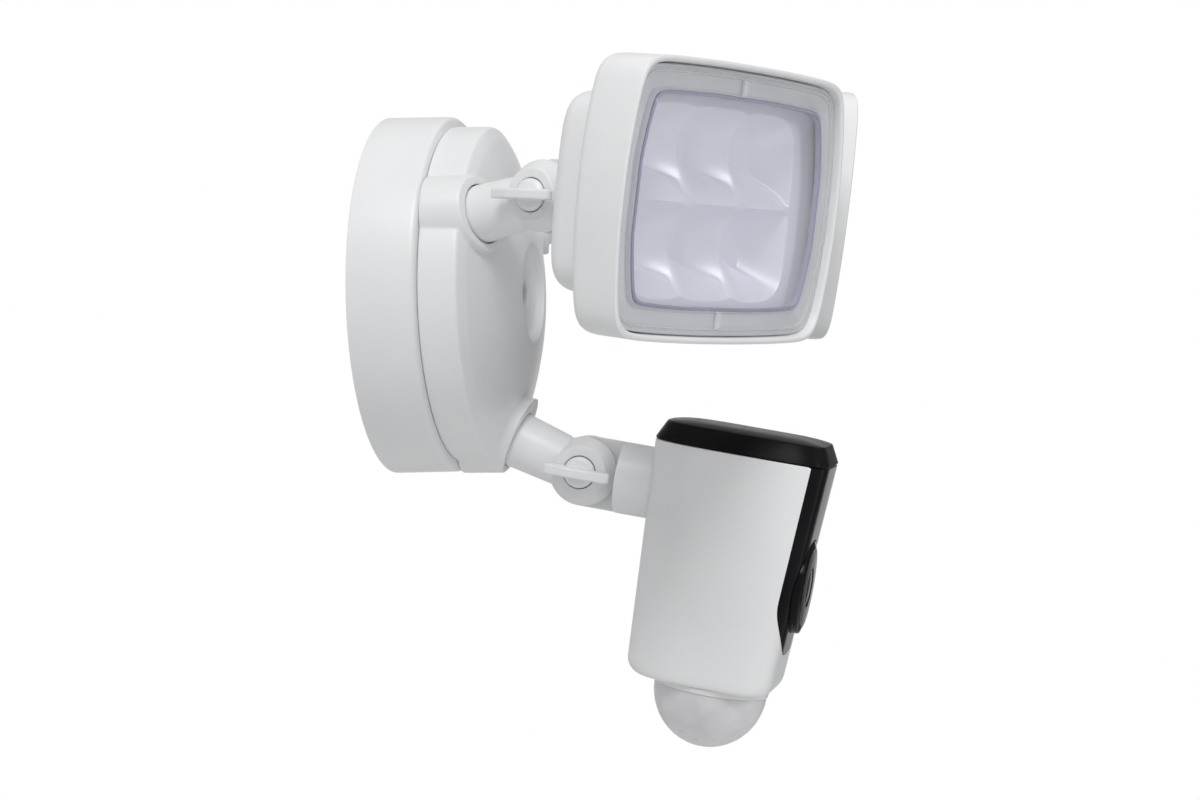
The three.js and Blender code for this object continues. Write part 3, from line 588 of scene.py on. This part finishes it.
def barrel(half, bow, sharpness=14, count=240):
    """A box outline with bowed sides and soft corners, as evenly spaced [x, z] points."""
    dense = []
    for i in range(4000):
        spread = (i + 0.5) / 1000
        quarter, part = divmod(spread, 1)
        turn = math.radians(90 * (quarter + (1 - math.cos(math.pi * part)) / 2))
        across = math.copysign(abs(math.cos(turn)) ** (2 / sharpness), math.cos(turn))
        up = math.copysign(abs(math.sin(turn)) ** (2 / sharpness), math.sin(turn))
        half_across = half[0] - bow[0] * up * up
        half_up = half[1] - bow[1] * across * across
        dense.append(Vector((half_across * across, half_up * up)))
    lengths = [0]
    for i, point in enumerate(dense):
        lengths.append(lengths[-1] + (dense[(i + 1) % len(dense)] - point).length)
    outline = []
    i = 0
    for k in range(count):
        target = lengths[-1] * k / count
        while lengths[i + 1] < target:
            i += 1
        part = (target - lengths[i]) / max(lengths[i + 1] - lengths[i], 1e-9)
        outline.append(dense[i].lerp(dense[(i + 1) % len(dense)], part))
    return outline


def inset_ring(half, bow, forward, inset, slant=0, sharpness=14):
    outline = barrel([v - inset for v in half], bow, sharpness)
    return [(p.x, -forward - slant * p.y, p.y) for p in outline]


def rim_ring(forward, inset, slant=0):
    return inset_ring(RIM_HALF, RIM_BOW, forward, inset, slant, 14 + max(inset - 2, 0) * 1.2)


def housing_ring(forward, inset):
    return inset_ring(HOUSING_HALF, HOUSING_BOW, forward, inset, 0, 9)


def corner_sweep(forward, inset, radius, steps=6):
    """Distances and insets round a back edge, from its back face to its side."""
    return [
        (forward + radius * (1 - math.cos(t)), inset + radius * (1 - math.sin(t)))
        for t in (math.pi / 2 * k / steps for k in range(steps + 1))
    ]


def hood():
    sweep = corner_sweep(HOOD_BACK, 0.2, 3.6)
    lip = [(RIM_FRONT - 0.9, 0), (RIM_FRONT - 0.35, 0.1), (RIM_FRONT, 0.6), (RIM_FRONT, 1.3)]
    lip += [(RIM_FRONT - 0.35, 1.8), (RIM_FRONT - 0.9, 2)]
    inside = [(HOOD_BACK + 6, 2.5), (HOOD_BACK + WALL + 0.6, 3), (HOOD_BACK + WALL, 4)]
    rings = [housing_ring(HOOD_BACK, -GAP)]
    rings += [rim_ring(forward, inset) for forward, inset in sweep]
    rings += [rim_ring(forward, inset, RIM_SLANT) for forward, inset in lip]
    rings += [rim_ring(forward, inset) for forward, inset in inside]
    rings.append(housing_ring(HOOD_BACK + WALL, -GAP))
    return new_object("hood", *skin(rings, closed=True))


def lamp_housing():
    """The rear housing, open in front, with a round hole for the stem in its back."""
    axis_lift = -(HEAD_PIVOT - LAMP_BACK) * math.sin(math.radians(HEAD_NOD))
    ring = housing_ring(LAMP_BACK, 0)
    angles = [math.atan2(z, x) for x, _, z in ring]

    def neck(forward):
        radius = STEM_RADIUS + GAP
        return [(radius * math.cos(a), -forward, radius * math.sin(a) + axis_lift) for a in angles]

    rings = [neck(LAMP_BACK)]
    rings += [housing_ring(forward, inset) for forward, inset in corner_sweep(LAMP_BACK, 0, 6, 10)]
    rings += [housing_ring(HOOD_BACK + 2.4, 0), housing_ring(HOOD_BACK + 2.4, WALL)]
    inner_sweep = reversed(corner_sweep(LAMP_BACK + WALL, WALL, 5))
    rings += [housing_ring(forward, inset) for forward, inset in inner_sweep]
    rings.append(neck(LAMP_BACK + WALL))
    return new_object("housing", *skin(rings, closed=True))


def bowl_depth(x, z):
    """How far the reflector is sunk below its front plate at a point."""
    across = (x / CELL[0] + 1.5) % 1 * 2 - 1
    up = (z / CELL[1] + 1) % 1 * 2 - 1
    crease = -0.45 - 0.3 * across
    sole = max(SOLE_SLOPE * (up + 1), SOLE_SLOPE * (crease + 1) + WEDGE_SLOPE * (up - crease))
    bowl = BOWL_DEPTH * (1 - abs(up) ** 2.6)
    bowl += (min(bowl, sole) - bowl) * (1 - across ** 8)
    bowl = bowl * (1 - 0.44 * across * across) - 2.2 * (across * up) ** 6
    outside = (abs(x) / (1.5 * CELL[0])) ** 7 + (abs(z) / CELL[1]) ** 7
    wall = (1 - outside ** (1 / 7)) * SIDE_SLOPE
    return max(min(bowl, wall), 0)


def corner_stretch(across, up):
    """How far in the hood's rounded corner lies from a square one, in a direction."""
    return (across ** 14 + up ** 14 + 1e-9) ** (1 / 14) / max(abs(across), abs(up), 1e-9)


def plate_point(across, up):
    """A point of the reflector's plate, whose margin is stretched out to the bowed hood."""
    x, z = across * (1.5 * CELL[0] + PLATE_BORDER[0]), up * (CELL[1] + PLATE_BORDER[1])
    margin = max(max(abs(across), abs(up)) - 0.9, 0) / 0.1
    corner = corner_stretch(across, up) if margin else 1
    far_x = (RIM_HALF[0] - PLATE_INSET - RIM_BOW[0] * up * up) * across / corner
    far_z = (RIM_HALF[1] - PLATE_INSET - RIM_BOW[1] * across * across) * up / corner
    depth = bowl_depth(x, z)
    return x + margin * (far_x - x), -REFLECTOR_FRONT + depth, z + margin * (far_z - z) + REFLECTOR_LIFT


def reflector():
    """A plate with six sunk bowls, three by two, and a skirt behind it."""
    columns, rows = 288, 192
    verts = [
        plate_point(2 * i / columns - 1, 2 * j / rows - 1)
        for j in range(rows + 1) for i in range(columns + 1)
    ]
    faces = []
    for j in range(rows):
        for i in range(columns):
            a = j * (columns + 1) + i
            faces.append((a, a + 1, a + columns + 2, a + columns + 1))
    edge = list(range(columns + 1))
    edge += [j * (columns + 1) + columns for j in range(1, rows + 1)]
    edge += [rows * (columns + 1) + i for i in range(columns - 1, -1, -1)]
    edge += [j * (columns + 1) for j in range(rows - 1, 0, -1)]
    start = len(verts)
    verts += [(verts[i][0], -REFLECTOR_FRONT + 1.4, verts[i][2]) for i in edge]
    for k in range(len(edge)):
        n = (k + 1) % len(edge)
        faces.append((edge[k], start + k, start + n, edge[n]))
    return new_object("reflector", verts, faces)


def lens_rings(profile):
    """Rings through (inset, rise) points, the rise measured from the cover's face."""
    return [rim_ring(LENS_FRONT + rise, inset, RIM_SLANT) for inset, rise in profile]


def lens_flange():
    """The clear cover's frame: ridges, a flat band and the step up to its window."""
    profile = [
        (2.7, -1.6), (2.7, -0.2), (3.2, 0), (3.6, 0), (3.9, -0.5), (4.3, -0.5), (4.6, 0.1), (5.0, 0.1),
        (5.3, -0.6), (6.0, -0.6), (9.6, -0.6), (10.0, -0.2), (10.3, 0.3), (10.7, 0.3), (11.0, -0.3),
        (11.3, -0.3), (11.3, -1.6),
    ]
    rings = lens_rings(profile)
    return new_object("flange", *skin(rings, closed=True))


def lens_step():
    """The upright wall where the cover steps up to its window, seen edge on. Its dark blue-grey, less clear tint
    is painted shade for the dark line that refraction draws along the step.
    """
    profile = [(10.1, -1.5), (10.1, -0.9), (11.4, -0.5), (11.4, 0.4), (11.7, 0.7), (12.0, 0.7), (12.0, -1.5)]
    rings = lens_rings(profile)
    return new_object("step", *skin(rings, closed=True))


def lens_window_pane():
    profile = [(12.1, -0.8), (12.1, 0.5), (12.5, 0.7), (13.4, 0.7)]
    rings = lens_rings(profile)
    rings.insert(0, rim_ring(LENS_FRONT - 0.8, 13.4, RIM_SLANT))
    return new_object("pane", *skin(rings))


def gate_marks():
    """The two moulding marks in the middle of the flange's upper and lower bands."""
    marks = []
    for z in (-1, 1):
        height = z * (RIM_HALF[1] - RIM_BOW[1] - 6.6)
        outline = rounded([(-0.6, -3, 0.5), (2.4, -3, 1.8), (2.4, 3, 1.8), (-0.6, 3, 0.5)])
        mark = extruded(outline, 1, 0.35)
        mark.data.transform(Matrix.Rotation(math.pi / 2, 4, "X"))
        mark.data.transform(Matrix.Translation((0, -LENS_FRONT - RIM_SLANT * height - 0.1, height)))
        marks.append(mark)
    return carve(marks[0], joins=marks[1:])


def lamp(name):
    place = FRAMES[name][0]
    head = place @ head_frame()
    body = HEAD_BODY[name]
    put(lamp_housing(), f"{name}_lamp_housing_fine", head, body, white, [f"{name}_lamp_housing"])
    put(hood(), f"{name}_lamp_hood_fine", head, body, white, [f"{name}_lamp_hood"])
    put(reflector(), f"{name}_reflector_fine", head, body, mirror, [f"{name}_reflector"], 50)
    put(lens_flange(), f"{name}_lens_flange", head, body, flange, [f"{name}_lens_cover"])
    # The step wall takes the dark-tinted clear plastic, whose tint is painted shade.
    put(lens_step(), f"{name}_lens_step", head, body, edge, [f"{name}_lens_cover"])
    put(lens_window_pane(), f"{name}_lens_pane", head, body, window, [f"{name}_lens_cover"])
    put(gate_marks(), f"{name}_gate_marks", head, body, flange)
    stem(name, LAMP_BACK + 1.8)


# Camera unit ------------------------------------------------------------------------

def body_ring(height, inset, side_inset=None, count=200):
    """The body's plan outline at a height: a round back and a slightly bowed front."""
    half_width = BODY_HALF_WIDTH - (inset if side_inset is None else side_inset)
    rear = BODY_REAR[0] + BODY_REAR[1] * height + inset
    front = BODY_FRONT[0] + BODY_FRONT[1] * height - inset * (1 if side_inset is None else 0.6)
    ring = []
    for i in range(count):
        angle = 2 * math.pi * (i + 0.5) / count
        power = 2 / 3.4 if math.cos(angle) < 0 else 2 / 6.5
        across = math.copysign(abs(math.sin(angle)) ** power, math.sin(angle))
        along = math.copysign(abs(math.cos(angle)) ** power, math.cos(angle))
        forward = (rear + front) / 2 + (front - rear) / 2 * along
        ring.append((half_width * across, -forward, height))
    return ring


def body_block(sections):
    return new_object("body", *skin([body_ring(*section) for section in sections]))


def body_solid():
    radius = 5.5
    bottom = []
    for k in range(13):
        t = math.pi / 2 * (k / 12) ** 1.3
        inset = radius * (1 - math.sin(t))
        bottom.append((BODY_BOTTOM + radius * (1 - math.cos(t)), inset, 0.05 * inset * inset))
    return body_block([*bottom, (BODY_TOP - 0.4, 0), (BODY_TOP, 0.3)])


def body_hollow():
    return body_block([(BODY_BOTTOM + WALL + 0.4, 6), (BODY_BOTTOM + 8, WALL), (40, WALL)])


def panel_prism(growth):
    """The front panel's outline, straight-sided with a round lower end, run forward."""
    half = PANEL_HALF_WIDTH + growth
    turn = [math.pi * k / 64 for k in range(65)]
    arc = [
        (half * math.copysign(abs(math.cos(t)) ** 0.8, math.cos(t)), PANEL_CENTRE - half * math.sin(t) ** 0.8)
        for t in turn
    ]
    outline = [*arc, (-half, 40), (half, 40)]
    return new_object("tool", *skin([[(x, y, z) for x, z in outline] for y in (-60, -100)]))


def camera_shell():
    cuts = [
        body_hollow(), panel_prism(GAP),
        bar((0, -BODY_REAR[0] + 6, 0), (0, -BODY_REAR[0] - 6, 0), STEM_RADIUS + GAP),
        bar((0, -DOME_CENTRE, BODY_BOTTOM - 4), (0, -DOME_CENTRE, BODY_BOTTOM + 9), SENSOR_BORE),
    ]
    return carve(body_solid(), cuts=cuts)


def front_panel():
    hole = bar((0, -60, WINDOW_CENTRE), (0, -100, WINDOW_CENTRE), WINDOW_RADIUS + GAP)
    return carve(body_solid(), common=[panel_prism(0)], cuts=[body_hollow(), hole])


def top_cap():
    low = BODY_TOP + GAP
    top = low + CAP_HEIGHT
    sections = [
        (low, 0.15), (low + 0.25, 0), (low + 0.7, 0.15), (top - 0.6, 3.15), (top - 0.2, 3.45),
        (top, 3.9), (top + 0.35, 5.4), (top + 0.8, 8), (top + 1.15, 11), (top + 1.3, 14),
    ]
    inner = body_block([(low - 2, 2.6), (low + 0.6, 2.6), (top - WALL, 6)])
    ports = [bar((0, -forward, 15), (0, -forward, 40), 0.8, 32) for forward in (38, 55)]
    return carve(body_block(sections), cuts=[inner, *ports])


def window_glass():
    face = BODY_FRONT[0] + BODY_FRONT[1] * WINDOW_CENTRE
    return turned("window", rounded([
        (0, -face + 3.4, 0), (WINDOW_RADIUS - 2, -face + 3.4, 0), (WINDOW_RADIUS - 2, -face + 2.6, 0),
        (WINDOW_RADIUS, -face + 2.6, 0.2), (WINDOW_RADIUS, -face - 1.4, 0.9),
        (WINDOW_RADIUS - 2.6, -face - 2.2, 0.6), (WINDOW_RADIUS - 3.4, -face - 2.2, 0.2),
        (7.4, -face - 2.4, 0.1), (7.0, -face - 2.1, 0.1), (6.4, -face - 2.1, 0.1), (0, -face - 2.5, 0),
    ]), 192, (0, 0, WINDOW_CENTRE))


def sensor_ring():
    top = BODY_BOTTOM - 0.05
    return turned("ring", rounded([
        (17.4, top, 0), (SENSOR_RADIUS + 0.6, top, 0.3), (SENSOR_RADIUS + 0.4, top - 2.2, 0.6),
        (17.4, top - 2.2, 0),
    ]), 192, (0, -DOME_CENTRE, 0), True)


def sensor_dome():
    """The dome, its inside pressed into rows of shallow lens facets."""
    top = BODY_BOTTOM - 2.3
    steps = 40
    outer = [
        (SENSOR_RADIUS * math.cos(t), top - DOME_HEIGHT * math.sin(t))
        for t in (math.pi / 2 * k / steps for k in range(steps + 1))
    ]
    inner = []
    for k in range(steps, -1, -1):
        t = math.pi / 2 * k / steps
        facet = 0.25 * abs(math.sin(5 * t))
        radius = SENSOR_RADIUS - DOME_WALL + facet
        drop = DOME_HEIGHT - DOME_WALL + facet
        inner.append((radius * math.cos(t), top - drop * math.sin(t)))
    return turned("dome", [Vector(p) for p in (*outer, *inner)], 160, (0, -DOME_CENTRE, 0), True)


def camera_unit():
    place = FRAMES["camera"][0]
    body = HEAD_BODY["camera"]
    put(camera_shell(), "camera_shell_fine", place, body, white, ["camera_shell"], 30)
    put(front_panel(), "front_panel_fine", place, body, gloss, ["front_panel"], 30)
    put(top_cap(), "top_cap_fine", place, body, satin, ["top_cap"], 30)
    put(window_glass(), "lens_window_fine", place, body, gloss, ["lens_window"])
    put(sensor_ring(), "sensor_ring_fine", place, body, white, ["sensor_ring"])
    put(sensor_dome(), "sensor_dome_fine", place, body, milky, ["sensor_dome"])
    stem("camera", BODY_REAR[0] + 2)


# CAD pieces that keep their own shape -----------------------------------------------

def finish_cad_pieces():
    by_slot = {made["slot"]: made["material"] for made in (
        white, gloss, satin, flange, mirror, milky, rubber, steel, aluminium, brass,
        dark_plastic, green_board, white_board, terminal,
    )}
    for entry in frame["record"]["subparts"]:
        node = frame["nodes"][entry["node"]]
        seals_lens = entry["node"].endswith("lens_gasket")
        node.data.materials.clear()
        node.data.materials.append(silicone["material"] if seals_lens else by_slot[entry["material_slot"]])


# Stage, lights and camera -----------------------------------------------------------

CAMERA_AZIMUTH = -78.1964
CAMERA_ELEVATION = 2.0
CAMERA_ROLL = -1.1169
CAMERA_DISTANCE = 1.0855
AIM_FROM_CENTRE = (-0.00156, 0.0084, 0.00554)
LENS_LENGTH = 90
SENSOR_WIDTH = 36
AMBIENT = 0.5
FLOOR_DROP = 0.6
FLOOR_RADIUS = 2


def floor():
    """A pale studio floor, well below the hanging camera."""
    low = cad_box[0][2] - FLOOR_DROP
    corners = ((0, low), (FLOOR_RADIUS, low), (FLOOR_RADIUS, low - 0.02), (0, low - 0.02))
    profile = [Vector(p) for p in corners]
    obj = turned("floor", profile, 96, (0, -0.1, 0), True)
    made = node_material("floor", "white_plastic")
    vary_colour(made, 3, (0.84, 0.84, 0.84), (0.87, 0.87, 0.87))
    vary_roughness(made, 5, 0.8, 0.9)
    obj.data.materials.append(made["material"])
    obj.data.shade_smooth()


def area_light(name, position, target, size, power):
    light = bpy.data.lights.new(name, "AREA")
    light.energy = power
    light.shape = "DISK"
    light.size = size
    obj = bpy.data.objects.new(name, light)
    obj.location = position
    obj.rotation_euler = (Vector(target) - Vector(position)).to_track_quat("-Z", "Y").to_euler()
    bpy.context.scene.collection.objects.link(obj)


def studio_world():
    """Soft light from all round, a white backdrop behind the object, a dark flag beside it."""
    world = bpy.data.worlds.new("studio")
    world.use_nodes = True
    tree = world.node_tree
    background = tree.nodes["Background"]
    background.inputs["Color"].default_value = (1, 1, 1, 1)
    direction = tree.nodes.new("ShaderNodeTexCoord")

    def cone(axis, edge, core, outside, inside):
        facing = tree.nodes.new("ShaderNodeVectorMath")
        facing.operation = "DOT_PRODUCT"
        facing.inputs[1].default_value = axis
        strength = tree.nodes.new("ShaderNodeMapRange")
        limits = (("From Min", edge), ("From Max", core), ("To Min", outside), ("To Max", inside))
        for socket, value in limits:
            strength.inputs[socket].default_value = value
        tree.links.new(direction.outputs["Generated"], facing.inputs[0])
        tree.links.new(facing.outputs["Value"], strength.inputs["Value"])
        return strength.outputs["Result"]

    brighter = tree.nodes.new("ShaderNodeMath")
    brighter.operation = "MAXIMUM"
    tree.links.new(cone(-view_back(), 0.94, 0.966, 0, 1), brighter.inputs[0])
    tree.links.new(cone(Vector((0.914, -0.407, 0)), 0.85, 0.94, AMBIENT, 0.06), brighter.inputs[1])
    tree.links.new(brighter.outputs["Value"], background.inputs["Strength"])
    return world


def lights():
    bpy.context.scene.world = studio_world()
    bpy.context.scene.view_settings.view_transform = "Standard"
    centre = (Vector(cad_box[0]) + Vector(cad_box[1])) / 2
    area_light("key", centre + Vector((-1.3, -0.1, 1.5)), centre, 0.8, 18)
    area_light("front", centre + Vector((-0.5, -1.9, 0.7)), centre, 0.7, 8)
    area_light("low", centre + Vector((-1.3, -1.2, -1.2)), centre, 0.9, 8)


def view_back():
    """The direction from the object to the camera."""
    azimuth, elevation = math.radians(CAMERA_AZIMUTH), math.radians(CAMERA_ELEVATION)
    level = math.cos(elevation)
    return Vector((math.sin(azimuth) * level, -math.cos(azimuth) * level, math.sin(elevation)))


def camera():
    back = view_back()
    right = (-back).cross(Vector((0, 0, 1))).normalized()
    turn = Matrix((right, back.cross(right), back)).transposed().to_4x4()
    turn = turn @ Matrix.Rotation(math.radians(CAMERA_ROLL), 4, "Z")
    centre = (Vector(cad_box[0]) + Vector(cad_box[1])) / 2
    lens = bpy.data.cameras.new("camera")
    lens.lens = LENS_LENGTH
    lens.sensor_width = SENSOR_WIDTH
    lens.clip_end = 20
    obj = bpy.data.objects.new("camera", lens)
    obj.matrix_world = Matrix.Translation(centre + Vector(AIM_FROM_CENTRE) + back * CAMERA_DISTANCE) @ turn
    bpy.context.scene.collection.objects.link(obj)
    bpy.context.scene.camera = obj


camera()
lights()
floor()
finish_cad_pieces()
back_box()
front_cover()
for arm_name in FRAMES:
    arm(arm_name)
    wing_knob(arm_name)
lamp("left")
lamp("right")
camera_unit()
